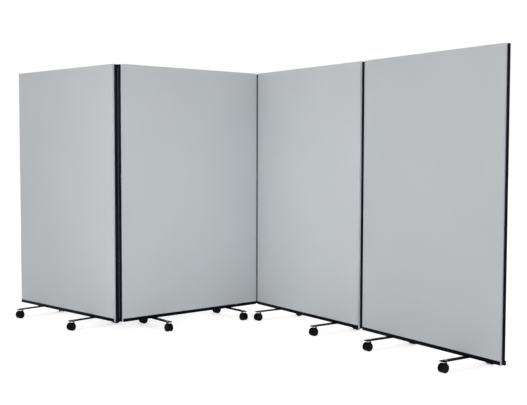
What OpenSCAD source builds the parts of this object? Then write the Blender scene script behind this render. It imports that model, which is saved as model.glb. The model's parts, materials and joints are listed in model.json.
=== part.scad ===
// Rolling partition: four flat panels joined in a row by two-pin hinges.
// Every panel stands on two flat cross feet, and each foot rolls on two swivel casters.
// Millimetres, +Z up, floor at z = 0, origin under the middle of the overall box.

/* [Panel] */
// Width of a panel between its two end faces
panel_width = 1219; // [900:1:1500]
// Height of a panel from the underside of its bottom rail to its top
panel_height = 1829; // [1200:1:2200]
// Thickness of a panel over its two boards
panel_thickness = 40; // [36:1:48]
// Thickness of a fabric-covered board
board_thickness = 3.2; // [2.5:0.1:5]
// Rounding of the upright edges of a board
board_edge = 1.2; // [0.5:0.1:1.2]
// Height of the black bottom rail
rail_height = 24; // [18:1:40]
// Wall of the black bottom rail
rail_wall = 2; // [1.5:0.1:2.5]
// Rounding of the lower edges of the black bottom rail
rail_corner = 3; // [1:0.5:4]
// Wall of the aluminium end and top channels
channel_wall = 1.6; // [1.2:0.1:2]
// Depth of the aluminium end channels, measured in from the end face
channel_depth = 25; // [18:1:35]
// Depth of the aluminium top channel, measured down from the top
top_channel_depth = 18; // [12:1:30]
// Height of the timber cross rails inside a panel
timber_height = 45; // [30:1:80]
// How far the timber stiles reach in from the end face
stile_reach = 45; // [38:1:80]
// Number of timber cross rails between the lowest and the highest
middle_timbers = 2; // [1:1:4]

/* [Hinges] */
// Distance from a panel's end face to the axis of its hinge post
post_offset = 9; // [9:0.5:14]
// Diameter of a hinge post
post_diameter = 17; // [14:0.5:17]
// Distance between the two pivots of a hinge
pivot_spacing = 27; // [26:0.5:34]
// Width of the end blocks that join two posts
block_diameter = 17; // [14:0.5:17]
// Height of an end block
block_height = 27; // [15:1:40]
// How far the end blocks stop short of the panel's top and underside
block_inset = 3; // [0:0.5:10]
// Diameter of a hinge pin
pin_diameter = 8; // [5:0.5:10]
// Length of a hinge pin inside its post
pin_length = 35; // [20:1:60]
// Thickness of the strip that closes the slit between two posts
strip_thickness = 7; // [2:0.5:7]
// Depth of that strip from front to back
strip_depth = 14; // [8:1:16]

/* [Feet] */
// Distance from a panel's end face to the middle of its nearest foot
foot_inset = 268; // [200:1:350]
// Width of a foot bar
foot_width = 40; // [36:1:60]
// Thickness of a foot bar
foot_thickness = 6; // [4:0.5:8]
// Length of a foot bar
foot_length = 432; // [400:1:480]
// Corner radius of a foot bar
foot_corner = 6; // [2:1:15]
// Distance from a foot's end to the caster stem
stem_inset = 39; // [26:1:45]
// Diameter of the screws that hold a foot
screw_diameter = 6; // [4:0.5:8]
// Distance between the two screws of a foot
screw_spacing = 20; // [14:1:24]

/* [Casters] */
// Diameter of a caster wheel
wheel_diameter = 57; // [45:1:62]
// Width of one wheel of the pair
wheel_width = 14; // [12:0.5:20]
// Thickness of the caster body between the wheels
body_thickness = 12; // [11.5:0.5:16]
// Horizontal distance from the caster stem to the wheel axle
trail = 21; // [16:0.5:24]
// Diameter of a caster stem in its socket
stem_diameter = 8; // [6:0.5:8]
// Diameter of the socket boss on top of a caster body
boss_diameter = 20; // [14:0.5:24]
// Height of the socket boss above the tops of the wheels
boss_height = 4; // [3:0.5:12]
// Height of the stem's collar between the socket boss and the foot
collar_height = 5; // [4:0.5:14]
// Diameter of the wheel axle
axle_diameter = 6; // [4:0.5:8]

/* [Folds] */
// Direction of the first panel, measured from the X axis
first_heading = -10.5; // [-45:0.5:45]
// Fold from the first panel to the second
fold_1_2 = 83; // [-100:0.5:100]
// Fold from the second panel to the third
fold_2_3 = -94.5; // [-100:0.5:100]
// Fold from the third panel to the fourth
fold_3_4 = -1.5; // [-100:0.5:100]

/* [Hidden] */
$fn = 48;
// Radial gap of a pin, stem or axle in its bore
running_gap = 0.05;
// Gap between two pieces that turn past each other
turning_gap = 0.5;
// Gap round a piece that slides into a slot
slot_gap = 0.3;
// Gap between a caster wheel and the caster body
wheel_gap = 1;
// Extra length that a cut runs past the surface
past = 1;
// Chamfer round the ends of the hinge posts and end blocks
chamfer = 1;

panel_count = 4;
sides = ["left", "right"];
faces = ["front", "back"];

// Heights
axle_height = wheel_diameter / 2;
boss_top = wheel_diameter + boss_height;
foot_bottom = boss_top + collar_height;
rail_bottom = foot_bottom + foot_thickness;
rail_top = rail_bottom + rail_height;
panel_top = rail_bottom + panel_height;
block_bottom = rail_bottom + block_inset;
block_top = panel_top - block_inset;
hinge_post_bottom = block_bottom + block_height + turning_gap;
hinge_post_top = block_top - block_height - turning_gap;
pin_clearance = 2;
post_bore_depth = pin_length + pin_clearance;

// Inside of a panel
core_thickness = panel_thickness - 2 * board_thickness;
stile_thickness = core_thickness - 2 * channel_wall;
right_post = panel_width + 2 * post_offset;
end_faces = [post_offset, post_offset + panel_width];

// Slot in an end channel and the fin of the post that slides into it
fin_neck = 5;
fin_head_width = 12;
fin_head_depth = 3;
slot_depth = fin_head_depth + 0.4;

// Where the feet and the caster stems stand
foot_places = [post_offset + foot_inset, post_offset + panel_width - foot_inset];
stem_reach = foot_length / 2 - stem_inset;
nut_height = 5;
nut_across = 15;
stem_end = 1;
screw_head_height = 3;
screw_head_diameter = 11;
screw_length = 30;
screw_end_gap = 4;

// How deep the caster stem sits in its socket, and the room left below it
stem_depth = 14;
stem_end_gap = 1;
// How far the caster body stays inside the wheels' outline
body_inset = 4;
// Bevel of a wheel's edges and depth of its dished face
wheel_edge = 2.5;
wheel_dish = 2.5;
// Radii of the dish, as parts of the wheel's radius: rim, floor, floor, hub
dish_radii = [0.76, 0.72, 0.4, 0.36];
// Half of the axle, and the room left past its end in the wheel
half_axle = body_thickness / 2 + wheel_gap + wheel_width / 2;
axle_end_gap = 0.5;

// Directions of the panels and of the hinge links, seen from above
folds = [fold_1_2, fold_2_3, fold_3_4];
function fold_sum(n) = n == 0 ? 0 : fold_sum(n - 1) + folds[n - 1];
function heading(n) = first_heading + fold_sum(n);
function link_heading(n) = heading(n) + folds[n] / 2;
function along(angle) = [cos(angle), sin(angle)];
function across(angle) = [-sin(angle), cos(angle)];

// Place of each panel's left post, with the first at zero
function chain(n) = n == 0 ? [0, 0]
    : chain(n - 1) + right_post * along(heading(n - 1)) + pivot_spacing * along(link_heading(n - 1));

function panel_point(n, x, y) = chain(n) + x * along(heading(n)) + y * across(heading(n));

// Turn of each panel's back casters, left one first: at zero a caster trails backwards.
// The front casters all trail forwards.
back_turns = [[55, 0], [-90, -90], [-60, 0], [0, 0]];
function caster_turn(n, side, face) = face == "front" ? 180 : back_turns[n][side == "left" ? 0 : 1];
function stem_place(side, face) = [
    foot_places[side == "left" ? 0 : 1],
    (face == "back" ? 1 : -1) * stem_reach
];

// Outermost points of the row: the round corners of the feet, the wheels, and the ends' half blocks
foot_points = [
    for (n = [0 : panel_count - 1]) for (x = foot_places) for (dx = [-1, 1]) for (dy = [-1, 1])
        for (reach = [[-1, 0], [1, 0], [0, -1], [0, 1]])
            foot_corner * reach + panel_point(n,
                x + dx * (foot_width / 2 - foot_corner), dy * (foot_length / 2 - foot_corner))
];
wheel_corners = [
    [half_axle + wheel_width / 2, wheel_diameter / 2 - wheel_edge],
    [half_axle + wheel_width / 2 - wheel_edge, wheel_diameter / 2]
];
wheel_points = [
    for (n = [0 : panel_count - 1]) for (side = sides) for (face = faces)
        for (dx = [-1, 1]) for (dy = [-1, 1]) for (corner = wheel_corners)
            let (turn = caster_turn(n, side, face),
                 place = stem_place(side, face) + dx * corner[0] * along(turn)
                     + (trail + dy * corner[1]) * across(turn))
                panel_point(n, place.x, place.y)
];
end_reach = pivot_spacing / 2;
end_points = [
    for (n = [0, panel_count - 1]) for (dy = [-0.5, 0.5])
        panel_point(n, n == 0 ? -end_reach : right_post + end_reach, dy * strip_depth)
];
outer_points = concat(foot_points, wheel_points, end_points);
middle = [
    (min([for (p = outer_points) p.x]) + max([for (p = outer_points) p.x])) / 2,
    (min([for (p = outer_points) p.y]) + max([for (p = outer_points) p.y])) / 2
];

// Colours
fabric_grey = "#b4b9bb";
aluminium_grey = "#c9cbcd";
timber_tan = "#c8a877";
gloss_black = "#131417";
steel_black = "#1d1e22";
wheel_black = "#26272b";

function panel_name(n, piece) = str("panel_", n + 1, "_", piece);
function caster_name(n, side, face, piece) = str("caster_", n + 1, "_", side, "_", face, "_", piece);

panel_pieces = ["core", "boards", "channels", "posts", "rail", "feet"];
caster_pieces = ["body", "wheels"];

// Moves a panel's own frame, which starts at its left post, to its place in the row
module at_panel(n) {
    place = chain(n) - middle;
    translate([place.x, place.y, 0]) rotate(heading(n)) children();
}

// Repeats a shape at both ends of a panel, turned so that +X points into the panel
module at_both_ends() {
    children();
    translate([right_post, 0, 0]) mirror([1, 0, 0]) children();
}

module block(x, y, z) {
    translate([x[0], y[0], z[0]]) cube([x[1] - x[0], y[1] - y[0], z[1] - z[0]]);
}

// Rectangle with round corners, about the origin
module round_rectangle(x, y, corner) {
    square([x - 2 * corner, y], center = true);
    square([x, y - 2 * corner], center = true);
    for (side_x = [-1, 1]) for (side_y = [-1, 1])
        translate([side_x * (x / 2 - corner), side_y * (y / 2 - corner)]) circle(corner);
}

// Upright cylinder from low to high, with a chamfer round both ends
module chamfered_cylinder(diameter, low, high) {
    translate([0, 0, low])
        cylinder(d1 = diameter - 2 * chamfer, d2 = diameter, h = chamfer);
    translate([0, 0, low + chamfer])
        cylinder(d = diameter, h = high - low - 2 * chamfer);
    translate([0, 0, high - chamfer])
        cylinder(d1 = diameter, d2 = diameter - 2 * chamfer, h = chamfer);
}

// Timber frame inside the panel, with its cross rails evenly spaced
module panel_core() {
    low = rail_bottom + rail_wall;
    high = panel_top - channel_wall;
    tongue = [post_offset + channel_wall + slot_depth + channel_wall, post_offset + stile_reach];
    step = (high - low - timber_height) / (middle_timbers + 1);
    color(timber_tan) difference() {
        union() {
            at_both_ends() {
                block(tongue, [-1, 1] * stile_thickness / 2, [low, high]);
                block([post_offset + channel_depth, tongue[1]], [-1, 1] * core_thickness / 2,
                      [low, panel_top - top_channel_depth]);
            }
            for (n = [0 : middle_timbers])
                block([tongue[1], right_post - tongue[1]], [-1, 1] * core_thickness / 2,
                      [low + n * step, low + n * step + timber_height]);
            block([tongue[1], right_post - tongue[1]], [-1, 1] * stile_thickness / 2,
                  [high - timber_height, high]);
            block([tongue[1], right_post - tongue[1]], [-1, 1] * core_thickness / 2,
                  [high - timber_height, panel_top - top_channel_depth]);
        }
        for (x = foot_places) for (dx = [-0.5, 0.5])
            translate([x + dx * screw_spacing, 0, low - past])
                cylinder(d = screw_diameter, h = screw_length);
    }
}

// Two boards that make the panel's front and back
module panel_boards() {
    color(fabric_grey) for (side = [-1, 1])
        translate([right_post / 2, side * (panel_thickness - board_thickness) / 2, rail_top])
            linear_extrude(panel_top - rail_top)
                round_rectangle(panel_width, board_thickness, board_edge);
}

// Section of an end channel, with the slot that holds the post's fin
module end_channel_section() {
    pocket = fin_head_width / 2 + slot_gap;
    difference() {
        union() {
            difference() {
                translate([0, -core_thickness / 2]) square([channel_depth, core_thickness]);
                translate([channel_wall, -stile_thickness / 2]) square([channel_depth, stile_thickness]);
            }
            translate([0, -pocket - channel_wall])
                square([2 * channel_wall + slot_depth, 2 * (pocket + channel_wall)]);
        }
        translate([channel_wall, -pocket]) square([slot_depth, 2 * pocket]);
        translate([-past, -fin_neck / 2 - slot_gap])
            square([channel_wall + 2 * past, fin_neck + 2 * slot_gap]);
    }
}

// Two end channels and the top channel that closes the panel between its boards
module panel_channels() {
    color(aluminium_grey) {
        at_both_ends()
            translate([post_offset, 0, rail_bottom + rail_wall])
                linear_extrude(panel_height - rail_wall - channel_wall) end_channel_section();
        block(end_faces, [-1, 1] * core_thickness / 2, [panel_top - channel_wall, panel_top]);
        for (y = [[-core_thickness, -stile_thickness] / 2, [stile_thickness, core_thickness] / 2])
            block(end_faces + [1, -1] * channel_depth, y, [panel_top - top_channel_depth, panel_top]);
    }
}

// One post with its fin, from low to high, bored at both ends for a hinge pin
module hinge_post(low, high, bore_depth) {
    difference() {
        union() {
            chamfered_cylinder(post_diameter, low, high);
            block([0, post_offset + channel_wall], [-1, 1] * fin_neck / 2,
                  [hinge_post_bottom, hinge_post_top]);
            block([post_offset + channel_wall, post_offset + channel_wall + fin_head_depth],
                  [-1, 1] * fin_head_width / 2, [hinge_post_bottom, hinge_post_top]);
        }
        for (z = [low - past, high - bore_depth])
            translate([0, 0, z]) cylinder(d = pin_diameter + 2 * running_gap, h = bore_depth + past);
    }
}

// Half of an end block, at the foot of a post that no neighbour is hinged to
module half_block() {
    difference() {
        block([-end_reach, 0], [-0.5, 0.5] * strip_depth,
              [block_bottom + chamfer, block_bottom + block_height]);
        translate([0, 0, block_bottom])
            cylinder(d = pin_diameter + 2 * running_gap, h = block_height + past);
    }
}

// The post of a free end, with its half block and a bore that takes a further hinge
module free_post() {
    hinge_post(block_bottom, block_top, block_height + post_bore_depth);
    half_block();
}

module panel_posts(n) {
    color(gloss_black) {
        if (n == 0) free_post();
        else hinge_post(hinge_post_bottom, hinge_post_top, post_bore_depth);
        translate([right_post, 0, 0]) mirror([1, 0, 0])
            if (n == panel_count - 1) free_post();
            else hinge_post(hinge_post_bottom, hinge_post_top, post_bore_depth);
    }
}

// Section of the black bottom rail: a channel with rounded lower edges
module rail_section() {
    inner_width = panel_thickness - 2 * rail_wall;
    difference() {
        union() {
            translate([-panel_thickness / 2, rail_corner])
                square([panel_thickness, rail_height - rail_corner]);
            translate([rail_corner - panel_thickness / 2, 0])
                square([panel_thickness - 2 * rail_corner, rail_corner + past]);
            for (side = [-1, 1])
                translate([side * (panel_thickness / 2 - rail_corner), rail_corner]) circle(rail_corner);
        }
        translate([-inner_width / 2, rail_wall]) square([inner_width, rail_height]);
    }
}

// Black rail along the panel's lower edge, drilled for the screws of the feet
module panel_rail() {
    color(steel_black) difference() {
        translate([post_offset, 0, rail_bottom]) rotate([90, 0, 90])
            linear_extrude(panel_width) rail_section();
        for (x = foot_places) for (dx = [-0.5, 0.5])
            translate([x + dx * screw_spacing, 0, rail_bottom - past])
                cylinder(d = screw_diameter + 2 * slot_gap, h = rail_wall + 2 * past);
    }
}

// Stem of a caster: the pin in the socket, its collar, and the nut on top of the foot
module caster_stem() {
    pin_bottom = boss_top - stem_depth;
    translate([0, 0, pin_bottom])
        cylinder(d = stem_diameter, h = rail_bottom + nut_height + stem_end - pin_bottom);
    translate([0, 0, boss_top + turning_gap])
        cylinder(d = 2 * stem_diameter, h = collar_height - turning_gap);
    translate([0, 0, rail_bottom]) cylinder(d = nut_across, h = nut_height, $fn = 6);
}

// Two cross feet with their screws and caster stems
module panel_feet() {
    color(steel_black) for (x = foot_places) translate([x, 0, 0]) {
        translate([0, 0, foot_bottom])
            linear_extrude(foot_thickness) round_rectangle(foot_width, foot_length, foot_corner);
        for (dx = [-0.5, 0.5]) translate([dx * screw_spacing, 0, 0]) {
            translate([0, 0, foot_bottom - screw_head_height])
                cylinder(d = screw_head_diameter, h = screw_head_height);
            translate([0, 0, foot_bottom])
                cylinder(d = screw_diameter, h = foot_thickness + screw_length - screw_end_gap);
        }
        for (side = [-1, 1]) translate([0, side * stem_reach, 0]) caster_stem();
    }
}

// Moves a caster's own frame, which starts under its stem with the wheels trailing along +Y
module at_caster(n, side, face) {
    place = stem_place(side, face);
    at_panel(n) translate([place.x, place.y, 0]) rotate(caster_turn(n, side, face)) children();
}

// Outline of the caster body between the wheels, seen along the axle
module caster_body_section() {
    disc = wheel_diameter / 2 - body_inset;
    translate([trail, axle_height]) circle(disc);
    polygon([
        [-boss_diameter / 2, wheel_diameter - 2 * body_inset],
        [-boss_diameter / 2, boss_top],
        [boss_diameter / 2, boss_top],
        [trail + disc * sin(30), axle_height + disc * cos(30)],
        [trail - disc, axle_height]
    ]);
}

// Caster body with the socket of its stem and the axle of its wheels
module caster_body() {
    socket_bottom = boss_top - stem_depth - stem_end_gap;
    color(gloss_black) difference() {
        union() {
            rotate([90, 0, 90])
                translate([0, 0, -body_thickness / 2]) linear_extrude(body_thickness) caster_body_section();
            translate([0, 0, wheel_diameter + wheel_gap])
                cylinder(d = boss_diameter, h = boss_height - wheel_gap);
            translate([-half_axle, trail, axle_height]) rotate([0, 90, 0])
                cylinder(d = axle_diameter, h = 2 * half_axle);
        }
        translate([0, 0, socket_bottom])
            cylinder(d = stem_diameter + 2 * running_gap, h = boss_top - socket_bottom + past);
    }
}

// One wheel, turned about its axle from the body side outwards, with a blind bore for the axle
module caster_wheel() {
    inner = body_thickness / 2 + wheel_gap;
    outer = inner + wheel_width;
    radius = wheel_diameter / 2;
    bore = axle_diameter / 2 + running_gap;
    rotate([0, 90, 0]) rotate_extrude() polygon([
        [0, half_axle + axle_end_gap],
        [bore, half_axle + axle_end_gap],
        [bore, inner],
        [radius - wheel_edge, inner],
        [radius, inner + wheel_edge],
        [radius, outer - wheel_edge],
        [radius - wheel_edge, outer],
        [radius * dish_radii[0], outer],
        [radius * dish_radii[1], outer - wheel_dish],
        [radius * dish_radii[2], outer - wheel_dish],
        [radius * dish_radii[3], outer - wheel_dish / 4],
        [0, outer - wheel_dish / 4]
    ]);
}

// The two wheels, one on each end of the axle
module caster_wheels() {
    color(wheel_black) translate([0, trail, axle_height]) {
        caster_wheel();
        mirror([1, 0, 0]) caster_wheel();
    }
}

// One figure-eight end block of a hinge link, from low to high
module link_block(low, high) {
    for (side = [-0.5, 0.5])
        translate([side * pivot_spacing, 0, 0]) chamfered_cylinder(block_diameter, low, high);
    block([-0.5, 0.5] * pivot_spacing, [-0.5, 0.5] * strip_depth, [low + chamfer, high - chamfer]);
}

// Hinge link: two end blocks, the four pins in the posts and the strip between the posts
module hinge_link() {
    low = block_bottom + block_height;
    high = block_top - block_height;
    color(gloss_black) {
        link_block(block_bottom, low);
        link_block(high, block_top);
        block([-0.5, 0.5] * strip_thickness, [-0.5, 0.5] * strip_depth,
              [low - 2 * chamfer, high + 2 * chamfer]);
        for (side = [-0.5, 0.5]) for (z = [low, high - pin_length - turning_gap])
            translate([side * pivot_spacing, 0, z]) cylinder(d = pin_diameter, h = pin_length + turning_gap);
    }
}

module at_link(n) {
    place = chain(n) + right_post * along(heading(n)) + pivot_spacing / 2 * along(link_heading(n)) - middle;
    translate([place.x, place.y, 0]) rotate(link_heading(n)) children();
}

for (n = [0 : panel_count - 1]) {
    at_panel(n) panel_core();
    at_panel(n) panel_boards();
    at_panel(n) panel_channels();
    at_panel(n) panel_posts(n);
    at_panel(n) panel_rail();
    at_panel(n) panel_feet();
    for (side = sides) for (face = faces) {
        at_caster(n, side, face) caster_body();
        at_caster(n, side, face) caster_wheels();
    }
}

for (n = [1 : panel_count - 1])
    at_link(n - 1) hinge_link();
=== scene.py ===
import bpy
import bmesh
import json
import math
from mathutils import Matrix, Vector


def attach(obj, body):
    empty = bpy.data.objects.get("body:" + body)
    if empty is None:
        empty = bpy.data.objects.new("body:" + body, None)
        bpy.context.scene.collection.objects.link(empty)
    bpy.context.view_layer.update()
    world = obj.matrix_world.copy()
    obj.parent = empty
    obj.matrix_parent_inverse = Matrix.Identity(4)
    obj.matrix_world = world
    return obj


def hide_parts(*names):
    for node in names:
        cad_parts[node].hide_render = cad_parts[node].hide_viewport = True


# Rolling partition: four fabric panels on casters, joined by two-pin hinges.
# Pieces are modelled in millimetres in the place of their own panel, caster or hinge.

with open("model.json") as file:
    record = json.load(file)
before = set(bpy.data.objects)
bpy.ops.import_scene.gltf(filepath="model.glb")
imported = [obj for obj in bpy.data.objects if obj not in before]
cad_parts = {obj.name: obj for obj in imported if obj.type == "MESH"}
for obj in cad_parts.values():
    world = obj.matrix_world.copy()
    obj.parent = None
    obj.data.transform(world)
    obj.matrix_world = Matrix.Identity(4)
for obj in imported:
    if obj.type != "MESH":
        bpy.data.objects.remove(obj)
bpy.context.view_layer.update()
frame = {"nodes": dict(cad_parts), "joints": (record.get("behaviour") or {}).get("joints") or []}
joints = {joint["name"]: Vector(joint["pos_m"]) for joint in frame["joints"]}
panels = (1, 2, 3, 4)
hinges = (1, 2, 3)
corners = [(side, face) for side in ("left", "right") for face in ("front", "back")]
millimetre = 0.001
crease = 35             # degrees from which an edge is drawn sharp
print("frame loaded with", len(frame["nodes"]), "nodes")


# millimetres in a frame with X along, Z up and the floor at zero, to metres in the row
def placeAt(centre, along):
    along = Vector((along.x, along.y, 0)).normalized()
    back = Vector((-along.y, along.x, 0))
    turn = Matrix((along, back, (0, 0, 1))).transposed().to_4x4()
    return Matrix.Translation((centre.x, centre.y, 0)) @ turn @ Matrix.Scale(millimetre, 4)


# starts in the middle of the panel's four caster stems
def panelPlace(n):
    stems = {corner: joints["caster_%d_%s_%s_swivel" % (n, *corner)] for corner in corners}
    centre = sum(stems.values(), Vector()) / len(stems)
    return placeAt(centre, stems["right", "front"] - stems["left", "front"])


# starts under the stem, with the wheels behind it along +Y
def casterPlace(name):
    pivot, axle = joints[name + "_swivel"], joints[name + "_roll"]
    trail = axle - pivot
    return placeAt(pivot, Vector((trail.y, -trail.x, 0)))


# starts halfway between the two pivots of a hinge
def linkPlace(n):
    first, second = joints["hinge_%d_%d_a" % (n, n + 1)], joints["hinge_%d_%d_b" % (n, n + 1)]
    return placeAt((first + second) / 2, second - first)


# lowest and highest corner of a CAD node in one of these places, in millimetres
def measure(node, place, keep=lambda point: True):
    back = place.inverted()
    points = [back @ vertex.co for vertex in frame["nodes"][node].data.vertices]
    points = [point for point in points if keep(point)]
    return Vector(map(min, zip(*points))), Vector(map(max, zip(*points)))


def bevelled(bm, edges, radius, segments):
    bmesh.ops.bevel(bm, geom=edges, offset=radius, offset_type="OFFSET", affect="EDGES",
                    segments=segments, profile=0.5, clamp_overlap=True, material=-1)
    return bm


# rounds the edges that turn by more than so many degrees
def softened(bm, radius, segments=2, angle=40):
    sharp = [e for e in bm.edges if e.calc_face_angle(0) > math.radians(angle)]
    return bevelled(bm, sharp, radius, segments)


def boxShape(low, high, radius=0, segments=2):
    bm = bmesh.new()
    bmesh.ops.create_cube(bm, size=1)
    bmesh.ops.scale(bm, vec=Vector(high) - Vector(low), verts=bm.verts)
    bmesh.ops.translate(bm, vec=(Vector(low) + Vector(high)) / 2, verts=bm.verts)
    return softened(bm, radius, segments) if radius else bm


# turned round Z from (radius, height) points
def turnedShape(profile, steps=48):
    bm = bmesh.new()
    line = [bm.verts.new((radius, 0, height)) for radius, height in profile]
    edges = [bm.edges.new(pair) for pair in zip(line, line[1:])]
    bmesh.ops.spin(bm, geom=line + edges, cent=(0, 0, 0), axis=(0, 0, 1), dvec=(0, 0, 0),
                   angle=math.tau, steps=steps, use_merge=True)
    bmesh.ops.remove_doubles(bm, verts=bm.verts, dist=0.0005)
    bmesh.ops.recalc_face_normals(bm, faces=bm.faces)
    return bm


# draws the fresh end of an extrusion out along X
def drawnOut(bm, extruded, length):
    fresh = [v for v in extruded["geom"] if isinstance(v, bmesh.types.BMVert)]
    bmesh.ops.translate(bm, vec=(length, 0, 0), verts=fresh)
    bmesh.ops.recalc_face_normals(bm, faces=bm.faces)
    return bm


# outline of (y, z) points, pulled from x = low to x = high
def slabShape(outline, low, high):
    bm = bmesh.new()
    face = bm.faces.new([bm.verts.new((low, y, z)) for y, z in outline])
    return drawnOut(bm, bmesh.ops.extrude_face_region(bm, geom=[face]), high - low)


# these lay a shape's Z along +X or along -X
toRight, toLeft = (Matrix.Rotation(turn, 3, "Y") for turn in (math.pi / 2, -math.pi / 2))


def moved(bm, offset=(0, 0, 0), turn=None):
    if turn:
        bmesh.ops.rotate(bm, cent=(0, 0, 0), matrix=turn, verts=bm.verts)
    bmesh.ops.translate(bm, vec=offset, verts=bm.verts)
    return bm


def painted(bm, index):
    for face in bm.faces:
        face.material_index = index
    return bm


def joined(*parts):
    whole = bmesh.new()
    for part in parts:
        mesh = bpy.data.meshes.new("part")
        part.to_mesh(mesh)
        part.free()
        whole.from_mesh(mesh)
        bpy.data.meshes.remove(mesh)
    return whole


# flat UV map in metres, laid on each face from the side that it faces
def clothMap(bm):
    layer = bm.loops.layers.uv.new("cloth")
    for face in bm.faces:
        facing = [abs(part) for part in face.normal]
        across = facing.index(max(facing))
        for loop in face.loops:
            spot = loop.vert.co * millimetre
            loop[layer].uv = [spot[axis] for axis in range(3) if axis != across]
    return bm


def addPiece(name, bm, place, body, materials, stands):
    bmesh.ops.transform(bm, matrix=place, verts=bm.verts)
    mesh = bpy.data.meshes.new(name)
    bm.to_mesh(mesh)
    bm.free()
    for material in materials:
        mesh.materials.append(material)
    mesh.polygons.foreach_set("use_smooth", [True] * len(mesh.polygons))
    mesh.set_sharp_from_angle(angle=math.radians(crease))
    piece = bpy.data.objects.new(name, mesh)
    bpy.context.scene.collection.objects.link(piece)
    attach(piece, body)
    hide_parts(*stands)


# one output socket that can stand in a sum or a product
class Wire:
    def __init__(self, shader, socket):
        self.shader, self.socket = shader, socket

    def maths(self, operation, other):
        return self.shader.node("ShaderNodeMath", {"operation": operation}, {0: self, 1: other})

    def __add__(self, other):
        return self.maths("ADD", other)

    def __mul__(self, other):
        return self.maths("MULTIPLY", other)

    __radd__, __rmul__ = __add__, __mul__


class Shader:
    def __init__(self, name, owner=None):
        self.material = owner or bpy.data.materials.new(name)
        self.material.use_nodes = True
        self.tree = self.material.node_tree
        self.tree.nodes.clear()

    # any node: its settings first, then the values or links of its sockets
    def node(self, kind, settings={}, sockets={}, out=0):
        made = self.tree.nodes.new(kind)
        for key, value in settings.items():
            if key == "stops":
                for stop, (position, tone) in zip(made.color_ramp.elements, value):
                    stop.position, stop.color = position, (tone, tone, tone, 1)
            else:
                setattr(made, key, value)
        for key, value in sockets.items():
            if isinstance(value, Wire):
                self.tree.links.new(value.socket, made.inputs[key])
            else:
                made.inputs[key].default_value = value
        return Wire(self, made.outputs[out]) if made.outputs else made

    # place on the surface, in metres
    def where(self):
        return self.node("ShaderNodeTexCoord", out="Object")

    def stretched(self, vector, scale):
        return self.node("ShaderNodeMapping", {}, {"Vector": vector, "Scale": scale})

    def noise(self, vector, scale=1, detail=3, roughness=0.5):
        return self.node("ShaderNodeTexNoise", {"normalize": True},
                         {"Vector": vector, "Scale": scale, "Detail": detail, "Roughness": roughness})

    # none below low, one above high
    def ramp(self, value, low, high):
        return self.node("ShaderNodeValToRGB", {"stops": ((low, 0), (high, 1))}, {"Fac": value})

    def mixed(self, factor, first, second):
        return self.node("ShaderNodeMix", {"data_type": "RGBA"}, {0: factor, 6: first, 7: second}, out=2)

    # distance is the height of the relief in metres
    def bump(self, height, strength, distance, under=None):
        sockets = {"Height": height, "Strength": strength, "Distance": distance}
        if under:
            sockets["Normal"] = under
        return self.node("ShaderNodeBump", {}, sockets)

    def surface(self, **sockets):
        named = {key.replace("_", " "): value for key, value in sockets.items()}
        skin = self.node("ShaderNodeBsdfPrincipled", {}, named)
        self.node("ShaderNodeOutputMaterial", {}, {"Surface": skin})
        return self.material


# a colour written as it shows, 0 to 255, by the curve of a standard screen
def shade(*shown):
    linear = [((x / 255 + 0.055) / 1.055) ** 2.4 if x > 10 else x / 3294 for x in shown]
    return (*linear, 1)


fabricLook = {
    "thread": 1.1,           # mm between threads of the warp
    "weftPace": 0.93,        # threads of the weft for each one of the warp
    "light": (184, 188, 191),
    "dark": (173, 177, 180),
    "weave": 0.45,           # how much threads, slubs and clouds lighten the colour
    "slub": 0.3,
    "cloud": 0.35,
    "fuzz": 0.25,            # strength of the threads' relief
}
waveBand = 0.31416           # metres from band to band in a wave texture of scale one


# threads both ways, with thick places in the yarn and slow clouds of colour
def panelFabric(look):
    s = Shader("panel_fabric")
    flat = s.node("ShaderNodeUVMap", {"uv_map": "cloth"})
    scale = waveBand / (look["thread"] * millimetre)
    warp, weft = (
        s.node("ShaderNodeTexWave", {"bands_direction": direction},
               {"Vector": flat, "Scale": scale * pace, "Distortion": 0.7, "Detail": 1.0, "Detail Scale": 2.0},
               out="Fac")
        for direction, pace in (("X", 1), ("Y", look["weftPace"])))
    slub = s.noise(s.stretched(flat, (1, 6, 1)), scale=90, detail=4, roughness=0.6)
    cloud = s.noise(flat, scale=1.6)
    weave = warp * weft
    shades = weave * look["weave"] + slub * look["slub"] + s.ramp(cloud, low=0.3, high=0.7) * look["cloud"]
    colour = s.mixed(shades, shade(*look["dark"]), shade(*look["light"]))
    soft = s.bump(slub, strength=0.12, distance=0.0006)
    return s.surface(Base_Color=colour, Roughness=0.88 + slub * 0.1, Sheen_Weight=0.12, Sheen_Roughness=0.5,
                     Specular_IOR_Level=0.25,
                     Normal=s.bump(weave, strength=look["fuzz"], distance=0.0004, under=soft))


# pale anodised aluminium, with draw lines along its length
def drawnAluminium(dark, light):
    s = Shader("end_channel_aluminium")
    spot = s.where()
    lines = s.noise(s.stretched(spot, (900, 900, 3)), detail=4, roughness=0.6)
    smudge = s.noise(spot, scale=5)
    colour = s.mixed(lines, shade(*dark), shade(*light))
    return s.surface(Base_Color=colour, Metallic=0.15, Roughness=0.38 + lines * 0.12 + smudge * 0.08,
                     Normal=s.bump(lines, strength=0.08, distance=0.0002))


navy = (0.45, 0.48, 0.75, 1)    # cast of the shine on the black metal


# smooth black of posts and hinge blocks, wiped along their length
def postBlack(dark, light):
    s = Shader("hinge_post_black")
    spot = s.where()
    wipe = s.noise(s.stretched(spot, (60, 60, 2.5)), detail=4, roughness=0.6)
    speck = s.noise(spot, scale=700, detail=2)
    colour = s.mixed(wipe, shade(*dark), shade(*light))
    return s.surface(Base_Color=colour, Roughness=0.22 + wipe * 0.08, Specular_IOR_Level=0.1,
                     Specular_Tint=navy, Normal=s.bump(speck, strength=0.05, distance=0.0001))


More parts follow.
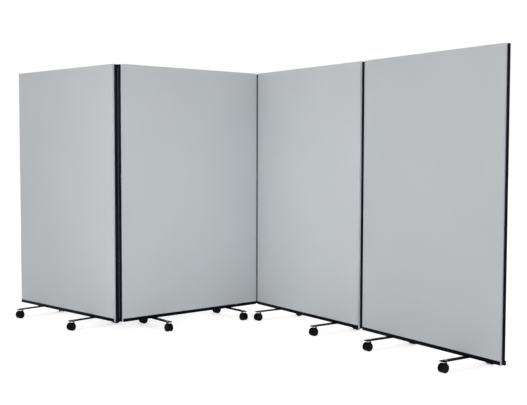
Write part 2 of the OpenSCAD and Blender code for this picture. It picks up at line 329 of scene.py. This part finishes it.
# powder coat with its orange peel and patches of fine dust
def powderCoat(name, dark, light):
    s = Shader(name)
    spot = s.where()
    skin = s.noise(spot, scale=1500, detail=2, roughness=0.6)
    dust = s.ramp(s.noise(spot, scale=22, detail=5, roughness=0.65), low=0.45, high=0.8)
    colour = s.mixed(dust, shade(*dark), shade(*light))
    return s.surface(Base_Color=colour, Roughness=0.42 + dust * 0.15 + skin * 0.06, Specular_IOR_Level=0.05,
                     Specular_Tint=navy, Normal=s.bump(skin, strength=0.22, distance=0.0003))


# moulded nylon with a fine spark-eroded grain and scuffed patches
def mouldedPlastic(name, dark, light, roughness):
    s = Shader(name)
    spot = s.where()
    grain = s.noise(spot, scale=2400, roughness=0.7)
    scuff = s.ramp(s.noise(spot, scale=70, detail=4, roughness=0.7), low=0.5, high=0.85)
    colour = s.mixed(scuff, shade(*dark), shade(*light))
    return s.surface(Base_Color=colour, Roughness=roughness + scuff * 0.15, Specular_IOR_Level=0.05,
                     Normal=s.bump(grain, strength=0.18, distance=0.00015))


# rolling tread, dusty in patches
def wheelTread(dark, light):
    s = Shader("wheel_tread")
    spot = s.where()
    dust = s.ramp(s.noise(spot, scale=160, detail=5, roughness=0.7), low=0.4, high=0.75)
    colour = s.mixed(dust, shade(*dark), shade(*light))
    wear = s.noise(spot, scale=900, roughness=0.6)
    return s.surface(Base_Color=colour, Roughness=0.55 + dust * 0.3, Specular_IOR_Level=0.05,
                     Normal=s.bump(wear, strength=0.2, distance=0.0003))


# zinc plate with its cloudy spangle
def zincPlate(dark, light):
    s = Shader("zinc_plate")
    cloud = s.noise(s.where(), scale=260, detail=4, roughness=0.6)
    colour = s.mixed(cloud, shade(*dark), shade(*light))
    return s.surface(Base_Color=colour, Metallic=0.6, Roughness=0.38 + cloud * 0.2,
                     Normal=s.bump(cloud, strength=0.06, distance=0.0002))


# sawn pine of the frame inside the panels
def framePine(dark, light):
    s = Shader("frame_pine")
    spot = s.where()
    rings = s.noise(s.stretched(spot, (30, 30, 1.5)), detail=5, roughness=0.6)
    fibre = s.noise(s.stretched(spot, (500, 500, 12)), roughness=0.6)
    colour = s.mixed(rings * 0.7 + fibre * 0.3, shade(*dark), shade(*light))
    return s.surface(Base_Color=colour, Roughness=0.65 + fibre * 0.2,
                     Normal=s.bump(fibre, strength=0.3, distance=0.0004))


fabric = panelFabric(fabricLook)
aluminium = drawnAluminium((210, 211, 220), (222, 223, 232))
black = postBlack((2, 3, 9), (6, 7, 16))
railCoat = powderCoat("rail_powder_coat", (5, 5, 9), (12, 13, 18))
footCoat = powderCoat("foot_powder_coat", (6, 6, 10), (14, 15, 19))
casterNylon = mouldedPlastic("caster_nylon", (5, 6, 8), (12, 13, 16), roughness=0.42)
hubNylon = mouldedPlastic("hub_nylon", (15, 16, 19), (25, 26, 29), roughness=0.48)
tread = wheelTread((4, 4, 6), (14, 14, 16))
zinc = zincPlate((150, 152, 157), (190, 193, 198))
pine = framePine((186, 148, 100), (222, 190, 146))
print("materials made")


# gives a CAD node that stays its material
def dress(nodeName, material):
    node = frame["nodes"][nodeName]
    node.data.materials.clear()
    node.data.materials.append(material)


cover = {"edge": 1.2, "segments": 4}                    # roll of the fabric over the board's edge
rail = {"corner": 3.0, "rim": 0.5, "wall": 2.0}         # bend below, rounding of the free edges, sheet metal


# board and fabric in one, a slab on each side of the panel
def fabricCover(n, place):
    node = "panel_%d_boards" % n
    for face, sign in (("front", -1), ("back", 1)):
        low, high = measure(node, place, lambda p: p.y * sign > 0)
        slab = clothMap(boxShape(low, high, cover["edge"], cover["segments"]))
        addPiece("panel_%d_cover_%s" % (n, face), slab, place, "panel_%d" % n, [fabric], [node])


# one bent section: sides, rounded corners and floor, then its wall thickness
def bottomRail(n, place):
    node = "panel_%d_rail" % n
    low, high = measure(node, place)
    bm = bmesh.new()
    section = ((low.y, high.z), (low.y, low.z), (high.y, low.z), (high.y, high.z))
    line = [bm.verts.new((low.x, y, z)) for y, z in section]
    edges = [bm.edges.new(pair) for pair in zip(line, line[1:])]
    drawnOut(bm, bmesh.ops.extrude_edge_only(bm, edges=edges), high.x - low.x)
    softened(bm, rail["corner"], segments=4)
    if max(bm.faces, key=lambda f: f.calc_center_median().y).normal.y < 0:
        bmesh.ops.reverse_faces(bm, faces=bm.faces)
    bmesh.ops.solidify(bm, geom=bm.faces[:], thickness=rail["wall"])
    bmesh.ops.recalc_face_normals(bm, faces=bm.faces)
    softened(bm, rail["rim"], angle=60)
    addPiece("panel_%d_bottom_rail" % n, bm, place, "panel_%d" % n, [railCoat], [node])


foot = {"thickness": 6.0, "corner": 6.0, "cornerSegments": 6, "rim": 0.9}
screw = {
    "head": 11.0, "height": 3.0, "edge": 0.25,
    "flank": 0.35, "crown": 0.72,                       # upright share of the height, flat share of the width
    "socket": 4.0, "depth": 1.6, "start": 1.6,          # start is how far the first inset goes in
    "shank": 6.0, "reach": 29.0, "tip": 3.0, "spacing": 20.0,
}
stem = {
    "inset": 39.0,                                      # from the foot's end
    "pin": 8.0, "chamfer": 0.6, "point": 1.0,
    "end": 1.0,                                         # of the pin over the nut
    "groove": 0.4, "grooveStep": 0.3, "grooveDrop": 0.2,
    "play": 0.5,                                        # between the caster's top and the collar
}
collar = {
    "across": 11.0, "chamfer": 0.8,
    "ring": ((0, 2.2), (0.6, 1.9), (0.6, 1.2), (0, 0.9)),   # in from the side and down from the top
}
washer = {"across": 17.5, "edge": 0.3, "thickness": 1.1}
nut = {"across": 15.0, "height": 5.0, "edge": 0.6}


def footPlate(low, high):
    plate = boxShape(low, high)
    upright = [e for e in plate.edges if abs(e.verts[0].co.z - e.verts[1].co.z) > foot["thickness"] / 2]
    bevelled(plate, upright, foot["corner"], foot["cornerSegments"])
    return softened(plate, foot["rim"], angle=60)


# pulls a flat round face to a six-sided one
def sixSided(faces, radius):
    for vert in {v for f in faces for v in f.verts}:
        turn = math.atan2(vert.co.y, vert.co.x)
        reach = radius / math.cos(turn % (math.pi / 3) - math.pi / 6)
        vert.co.x, vert.co.y = reach * math.cos(turn), reach * math.sin(turn)


# button head with a hexagon socket, head down, and its shank
def footScrew():
    size, height = screw["head"] / 2, screw["height"]
    head = turnedShape([(0, 0), (size, 0), (size, -height * screw["flank"]), (size * screw["crown"], -height),
                        (0, -height)], steps=24)
    under = [f for f in head.faces if f.normal.z < -0.9]        # the flat end
    socket = bmesh.ops.dissolve_faces(head, faces=under)["region"]
    bmesh.ops.inset_region(head, faces=socket, thickness=screw["start"], use_even_offset=True)
    sixSided(socket, screw["socket"] / 2)
    hole = bmesh.ops.extrude_discrete_faces(head, faces=socket)["faces"]
    bmesh.ops.translate(head, vec=(0, 0, screw["depth"]), verts=list({v for f in hole for v in f.verts}))
    softened(head, screw["edge"], angle=50)
    shank, reach = screw["shank"] / 2, screw["reach"]
    rod = turnedShape([(0, 0), (shank, 0), (shank, reach), (0, reach + screw["tip"])], steps=16)
    return joined(head, rod)


def hexNut(across, height):
    bm = bmesh.new()
    bmesh.ops.create_cone(bm, cap_ends=True, segments=6, radius1=across / 2, radius2=across / 2, depth=height)
    bmesh.ops.translate(bm, vec=(0, 0, height / 2), verts=bm.verts)
    return softened(bm, nut["edge"], angle=30)


# pin with its grooved end, collar under the foot, washer and nut over it
def casterStem(bottom, collarLow, plateLow, plateHigh):
    pin, top, bevel = stem["pin"] / 2, plateHigh + nut["height"] + stem["end"], stem["chamfer"]
    grooveLow = top - stem["end"] - stem["grooveDrop"]
    groove = [(pin - stem["groove"] * (k % 2), grooveLow + stem["grooveStep"] * k) for k in range(3)]
    rod = turnedShape([(0, bottom), (pin - bevel, bottom), (pin, bottom + bevel)] + groove
                      + [(pin - stem["point"], top), (0, top)], steps=24)
    wide, bevel = collar["across"] / 2, collar["chamfer"]
    ring = turnedShape([(0, collarLow), (wide - bevel, collarLow), (wide, collarLow + bevel)]
                       + [(wide - inwards, plateLow - drop) for inwards, drop in collar["ring"]]
                       + [(wide, plateLow), (0, plateLow)], steps=32)
    wide, edge, washerTop = washer["across"] / 2, washer["edge"], plateHigh + washer["thickness"]
    disc = turnedShape([(0, plateHigh), (wide - edge, plateHigh), (wide, plateHigh + edge),
                        (wide, washerTop - edge), (wide - edge, washerTop), (0, washerTop)], steps=32)
    hexagon = hexNut(nut["across"], nut["height"] - washer["thickness"])
    return joined(rod, ring, disc, moved(hexagon, (0, 0, washerTop)))


# both feet of a panel, each with its plate, two screws and two caster stems
def crossFeet(n, place):
    node, body = "panel_%d_feet" % n, "panel_%d" % n
    low, high = measure(node, place)
    plateHigh = measure("panel_%d_rail" % n, place)[0].z
    plateLow = plateHigh - foot["thickness"]
    collarLow = measure("caster_%d_left_front_body" % n, place)[1].z + stem["play"]
    for side, sign in (("left", -1), ("right", 1)):
        near, far = measure(node, place, lambda p: p.x * sign > 0)
        middle = (near.x + far.x) / 2
        plate = footPlate((near.x, near.y, plateLow), (far.x, far.y, plateHigh))
        screws = [moved(footScrew(), (middle + step * screw["spacing"], 0, plateLow)) for step in (-0.5, 0.5)]
        stems = [moved(casterStem(low.z, collarLow, plateLow, plateHigh), (middle, y, 0))
                 for y in (near.y + stem["inset"], far.y - stem["inset"])]
        for kind, bm, material in (("foot", plate, footCoat), ("screws", joined(*screws), zinc),
                                   ("stems", joined(*stems), zinc)):
            addPiece("panel_%d_%s_%s" % (n, kind, side), bm, place, body, [material], [node])


for n in panels:
    place = panelPlace(n)
    fabricCover(n, place)
    bottomRail(n, place)
    crossFeet(n, place)
    dress("panel_%d_channels" % n, aluminium)
    dress("panel_%d_posts" % n, black)
    dress("panel_%d_core" % n, pine)
print("panels dressed")


casterAxle = {"radius": 3.0, "reach": 14.0, "play": 0.1, "room": 0.5}      # play round it, room at its end
wheel = {
    "shoulder": 2.5, "corner": 0.7,                     # rounding of the tread
    "rimWidth": 0.16, "hub": 0.38,                      # shares of the radius
    "ring": 1.5, "paint": 0.5,                          # how far tread and its colour reach inside the rim
    "lip": 0.6, "lipDrop": 0.5, "lean": 0.4,            # chamfer and slope of the rim
    "dish": 2.4, "groove": 0.4, "fillet": 0.9,          # hollow of the outer face, deepest beside the hub
    "cap": 0.6, "capEdge": 0.8, "capRise": 0.6, "capMiddle": 0.5,
}
casterBody = {
    "edge": 1.0, "disc": 24.5, "neck": 12.0, "boss": 12.0,
    "gap": 1.0,                                         # from the neck to each wheel
    "shoulder": 3.5, "drop": 12.0,                      # neck's top and lower end, down from the socket's top
    "back": (-0.16, 0.2, 0.52),                         # radians from the disc's top where the neck meets it
}
socketRing = {
    "bore": 8.1, "height": 5.0, "chamfer": 0.6, "lead": 0.4,
    "top": ((0, 0.8), (0.3, 0.2), (0.8, 0)),            # in from the side and down from the top
}


# one wheel, its axle along Z and its outer face up; material 0 is its tread, 1 its hub
def wheelShape(radius, inner, outer):
    shoulder, corner, fillet = wheel["shoulder"], wheel["corner"], wheel["fillet"]
    rim, hub = radius * (1 - wheel["rimWidth"]), radius * wheel["hub"]
    dish, cap = wheel["dish"], wheel["cap"]
    bore, bored = casterAxle["radius"] + casterAxle["play"], casterAxle["reach"] + casterAxle["room"]
    whole = turnedShape([
        (0, bored), (bore, bored), (bore, inner), (rim - wheel["ring"], inner),
        (radius - shoulder, inner), (radius - corner, inner + corner), (radius, inner + shoulder),
        (radius, outer - shoulder), (radius - corner, outer - corner), (radius - shoulder, outer),
        (rim + wheel["lip"], outer), (rim, outer - wheel["lipDrop"]), (rim - wheel["lean"], outer - dish),
        (hub + 2 * fillet, outer - dish - wheel["groove"]), (hub + fillet, outer - dish),
        (hub, outer - fillet), (hub - wheel["capEdge"], outer - cap),
        (hub / 2, outer - cap * wheel["capRise"]), (0, outer - cap * wheel["capMiddle"]),
    ])
    for face in whole.faces:
        face.material_index = 0 if face.calc_center_median().xy.length > rim - wheel["paint"] else 1
    return whole


def casterWheels(name, place):
    node = name + "_wheels"
    low, high = measure(node, place)
    radius, inner = (high.z - low.z) / 2, casterBody["neck"] / 2 + casterBody["gap"]
    pair = joined(*[moved(wheelShape(radius, inner, high.x), turn=turn) for turn in (toRight, toLeft)])
    whole = moved(pair, (0, (low.y + high.y) / 2, (low.z + high.z) / 2))
    addPiece(name + "_wheel_pair", whole, place, node, [tread, hubNylon], [node])


# disc between the wheels, neck, the stem's socket and the axle
def casterMoulding(name, place):
    node = name + "_body"
    low, high = measure(node, place)
    reach, half, boss = casterBody["disc"], casterBody["neck"] / 2, casterBody["boss"] / 2
    axleHeight, trail, top = low.z + reach, high.y - reach, high.z
    centre, edge = (0, trail, axleHeight), casterBody["edge"]
    disc = turnedShape([(0, -half), (reach, -half), (reach, half), (0, half)])
    disc = moved(softened(disc, edge, segments=3, angle=60), centre, toRight)
    shoulder = top - casterBody["shoulder"]
    outline = [(-boss, top - casterBody["drop"]), (-boss, shoulder), (boss, shoulder)]
    outline += [(trail + reach * math.sin(turn), axleHeight + reach * math.cos(turn))
                for turn in casterBody["back"]]
    outline += [(trail - reach, axleHeight)]
    neck = softened(slabShape(outline, -half, half), edge, segments=3, angle=60)
    bore, lead, bevel = socketRing["bore"] / 2, socketRing["lead"], socketRing["chamfer"]
    lowEnd = top - socketRing["height"]
    socket = turnedShape([(bore, lowEnd), (boss - bevel, lowEnd), (boss, lowEnd + bevel)]
                         + [(boss - inwards, top - drop) for inwards, drop in socketRing["top"]]
                         + [(bore + lead, top), (bore, top - lead), (bore, lowEnd)], steps=40)
    pin, end = casterAxle["radius"], casterAxle["reach"]
    axle = moved(turnedShape([(0, -end), (pin, -end), (pin, end), (0, end)], steps=24), centre, toRight)
    whole = joined(disc, neck, painted(socket, 1), painted(axle, 1))        # 1 is the zinc in the list below
    addPiece(node + "_moulding", whole, place, node, [casterNylon, zinc], [node])


for n in panels:
    for corner in corners:
        name = "caster_%d_%s_%s" % (n, *corner)
        place = casterPlace(name)
        casterWheels(name, place)
        casterMoulding(name, place)
print("casters made")


hinge = {
    "block": 27.0, "edge": 0.9,
    "web": 14.0, "webDrop": 1.0,                        # thickness between the pivots, lower than the blocks
    "strip": 7.0, "stripOverlap": 2.0,
    "pin": 8.0, "pinReach": 35.5, "pinChamfer": 0.8,
}


# two end blocks, each like a figure eight, the strip between them and the four pins
def hingeLink(n):
    node, place = "link_%d" % n, linkPlace(n)
    low, high = measure(node, place)
    radius = (high.y - low.y) / 2
    reach = high.x - radius
    web, strip, drop, overlap = hinge["web"] / 2, hinge["strip"] / 2, hinge["webDrop"], hinge["stripOverlap"]
    pin, bevel = hinge["pin"] / 2, hinge["pinChamfer"]
    ends = (low.z + hinge["block"], high.z - hinge["block"])
    blocks = []
    for bottom, top in ((low.z, ends[0]), (ends[1], high.z)):
        for x in (-reach, reach):
            block = turnedShape([(0, bottom), (radius, bottom), (radius, top), (0, top)])
            blocks.append(moved(softened(block, hinge["edge"], segments=3, angle=60), (x, 0, 0)))
        blocks.append(boxShape((-reach, -web, bottom + drop), (reach, web, top - drop)))
    blocks.append(boxShape((-strip, -web, ends[0] - overlap), (strip, web, ends[1] + overlap)))
    pins = []
    for x in (-reach, reach):
        for end, inwards in ((ends[0], 1), (ends[1], -1)):
            tip = end + inwards * hinge["pinReach"]
            profile = [(0, end), (pin, end), (pin, tip - inwards * bevel), (pin - bevel, tip), (0, tip)]
            pins.append(moved(turnedShape(profile, steps=24), (x, 0, 0)))
    addPiece(node + "_blocks", joined(*blocks), place, node, [black], [node])
    addPiece(node + "_pins", joined(*pins), place, node, [zinc], [node])


for n in hinges:
    hingeLink(n)
print("hinges made")


# metres, and how far the light opens in degrees; the fill looks into the corner of the middle hinge
middleHinge = (joints["hinge_2_3_a"] + joints["hinge_2_3_b"]) / 2
lamps = {
    "key": {"at": (4.4, -4.6, 2.0), "aim": (0, 0, 0.9), "size": (2.5, 2.0), "watts": 80, "spread": 180},
    "left": {"at": (-2.0, -5.5, 2.2), "aim": (0, 0, 0.9), "size": (2.5, 2.0), "watts": 55, "spread": 180},
    "fill": {"at": (2.4, -5.2, 1.9), "aim": (middleHinge.x, middleHinge.y, 0.8), "size": (1.6, 1.6),
             "watts": 5.3, "spread": 30},
}
daylight = {
    "level": 0.73,           # strength of the sky on the partition
    "floor": 0.9,            # how much light the floor gives back
    "floorGlow": 0.5,        # and its own, for straight rays
    "floorReach": 40,        # metres from the middle to its edge
}


# one for a ray from the camera and for one that was mirrored or let through, none for stray light
def straightRay(shader):
    rays = [shader.node("ShaderNodeLightPath", out=kind)
            for kind in ("Is Camera Ray", "Is Glossy Ray", "Is Transmission Ray")]
    return rays[0] + rays[1] + rays[2]


def whiteFloor():
    bm = bmesh.new()
    bmesh.ops.create_grid(bm, x_segments=1, y_segments=1, size=daylight["floorReach"])
    mesh = bpy.data.meshes.new("floor")
    bm.to_mesh(mesh)
    bm.free()
    floor = bpy.data.objects.new("floor", mesh)
    bpy.context.scene.collection.objects.link(floor)
    s = Shader("white_floor")
    seen = straightRay(s)
    plain = s.node("ShaderNodeBsdfDiffuse", {}, {"Color": (daylight["floor"],) * 3 + (1,)})
    glow = s.node("ShaderNodeEmission", {}, {"Strength": seen * daylight["floorGlow"]})
    both = s.node("ShaderNodeAddShader", {}, {0: plain, 1: glow})
    s.node("ShaderNodeOutputMaterial", {}, {"Surface": both})
    mesh.materials.append(s.material)


def whiteWorld():
    world = bpy.data.worlds.new("white_world")
    bpy.context.scene.world = world
    s = Shader("white_world", world)
    seen = straightRay(s)
    level = daylight["level"] + seen * (1 - daylight["level"])
    sky = s.node("ShaderNodeBackground", {}, {"Color": (1, 1, 1, 1), "Strength": level})
    s.node("ShaderNodeOutputWorld", {}, {"Surface": sky})


def softLamp(name, spec):
    light = bpy.data.lights.new(name, "AREA")
    light.shape, light.energy = "RECTANGLE", spec["watts"]
    light.size, light.size_y = spec["size"]
    light.spread = math.radians(spec["spread"])
    lamp = bpy.data.objects.new(name, light)
    lamp.location = spec["at"]
    aim = Vector(spec["aim"]) - lamp.location
    lamp.rotation_euler = aim.to_track_quat("-Z", "Y").to_euler()
    bpy.context.scene.collection.objects.link(lamp)


# where the photograph was taken from
view = {
    "at": (3.5728, -5.3186, 1.2888),                    # metres
    "turn": -32.978, "down": 3.249, "roll": -0.156,     # degrees
    "focal": 896.5, "across": 527,                      # pixels
    "sensor": 36,                                       # mm
}


def photoCamera():
    turn, down, roll = (math.radians(view[key]) for key in ("turn", "down", "roll"))
    right = Vector((math.cos(turn), -math.sin(turn), 0))
    ahead = Vector((math.sin(turn) * math.cos(down), math.cos(turn) * math.cos(down), -math.sin(down)))
    up = right.cross(ahead)
    right, up = (math.cos(roll) * right - math.sin(roll) * up, math.sin(roll) * right + math.cos(roll) * up)
    data = bpy.data.cameras.new("camera")
    data.sensor_fit, data.sensor_width = "HORIZONTAL", view["sensor"]
    data.lens = view["sensor"] * view["focal"] / view["across"]
    camera = bpy.data.objects.new("camera", data)
    camera.matrix_world = Matrix.Translation(view["at"]) @ Matrix((right, up, -ahead)).transposed().to_4x4()
    bpy.context.scene.collection.objects.link(camera)
    bpy.context.scene.camera = camera


whiteFloor()
whiteWorld()
for name, spec in lamps.items():
    softLamp(name, spec)
photoCamera()
bpy.context.scene.view_settings.view_transform = "Standard"
print("stage set")
